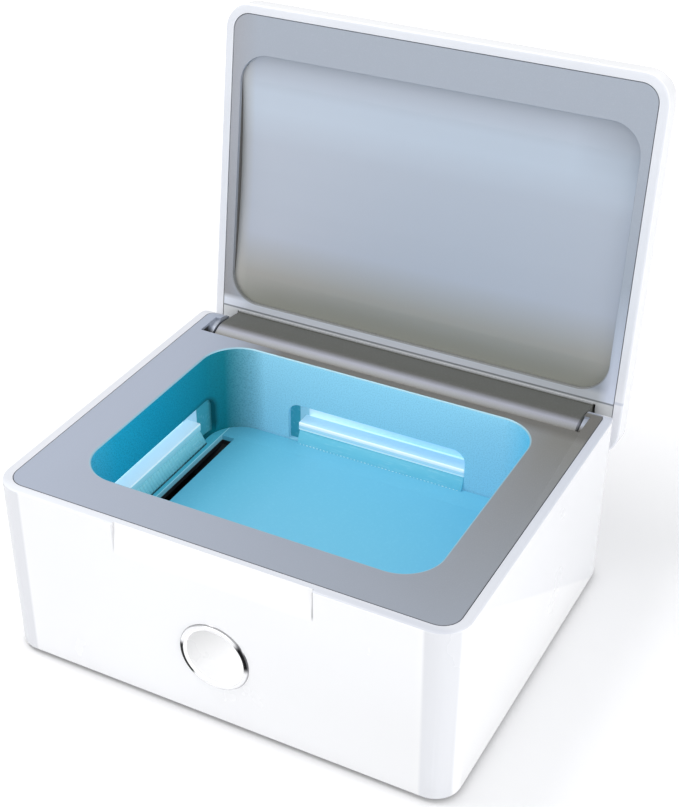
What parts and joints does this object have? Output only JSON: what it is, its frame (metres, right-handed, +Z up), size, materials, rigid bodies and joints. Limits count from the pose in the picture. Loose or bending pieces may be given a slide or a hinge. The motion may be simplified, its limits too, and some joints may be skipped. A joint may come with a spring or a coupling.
{
  "type": "hearing aid dryer",
  "caption": "Table-top electric dryer box for hearing aids with a hinged lid shown open, a drying chamber with two light bars, and a round power button.",
  "frame": {"origin": "centre of the plane that the four feet rest on", "axes": "+X to the right seen from the front, +Y to the back, where the hinge is, +Z up"},
  "size_m": [0.12, 0.121, 0.1325],
  "materials": {
    "housing_white": "glossy moulded",
    "trim_silver": "satin silver",
    "chamber_plastic": "fine satin",
    "lamp_clear": "clear light guide",
    "reflector_metal": "brushed mirror film",
    "chrome_trim": "polished",
    "foot_rubber": "matte",
    "inner_plastic": "moulded",
    "circuit_board": "solder mask",
    "bright_aluminium": "drawn",
    "steel_parts": "plated",
    "bush_brass": "turned"
  },
  "bodies": {
    "base": {"base_shell": "housing_white", "deck_frame": "trim_silver", "bottom_cover": "housing_white", "rubber_feet": "foot_rubber", "bottom_screws": "steel_parts", "chamber_tub": "chamber_plastic", "tub_retainers": "steel_parts", "floor_plate": "chamber_plastic", "film_heater": "inner_plastic", "thermal_cutout": "inner_plastic", "side_lamp_housing": "chamber_plastic", "side_lamp_bar": "lamp_clear", "side_lamp_board": "circuit_board", "side_lamp_leds": "lamp_clear", "back_lamp_housing": "chamber_plastic", "back_lamp_bar": "lamp_clear", "back_lamp_board": "circuit_board", "back_lamp_leds": "lamp_clear", "fan_frame": "inner_plastic", "fan_duct": "inner_plastic", "fan_screws": "steel_parts", "main_board": "circuit_board", "board_screws": "steel_parts", "board_chips": "inner_plastic", "board_inductor": "inner_plastic", "board_connectors": "inner_plastic", "board_capacitors": "bright_aluminium", "dc_jack": "inner_plastic", "lid_sensor": "inner_plastic", "catch_magnets": "steel_parts", "button_ring": "chrome_trim", "button_board": "circuit_board", "tact_switch": "inner_plastic", "button_screws": "steel_parts", "hinge_pins": "steel_parts"},
    "button": {"button_cap": "housing_white", "switch_plunger": "inner_plastic"},
    "fan": {"fan_rotor": "inner_plastic"},
    "lid": {"lid_shell": "housing_white", "lid_liner": "trim_silver", "lid_reflector": "reflector_metal", "hinge_barrel": "trim_silver", "hinge_bushes": "bush_brass", "barrel_screws": "steel_parts", "lid_magnets": "steel_parts", "sensor_magnet": "steel_parts"}
  },
  "joints": [
    {"name": "lid_hinge", "type": "hinge", "parent": "base", "child": "lid", "pos_m": [0, 0.0429, 0.04165], "axis": [1, 0, 0], "range_deg": [0, 97.6]},
    {"name": "button_press", "type": "slide", "parent": "base", "child": "button", "axis": [0, 0.9999, 0.0136], "range_m": [0, 0.0008], "stiffness_N_per_m": 1500},
    {"name": "fan_spin", "type": "hinge", "parent": "base", "child": "fan", "pos_m": [-0.0407, 0, 0.0113], "axis": [0, 0, 1], "continuous": true}
  ]
}
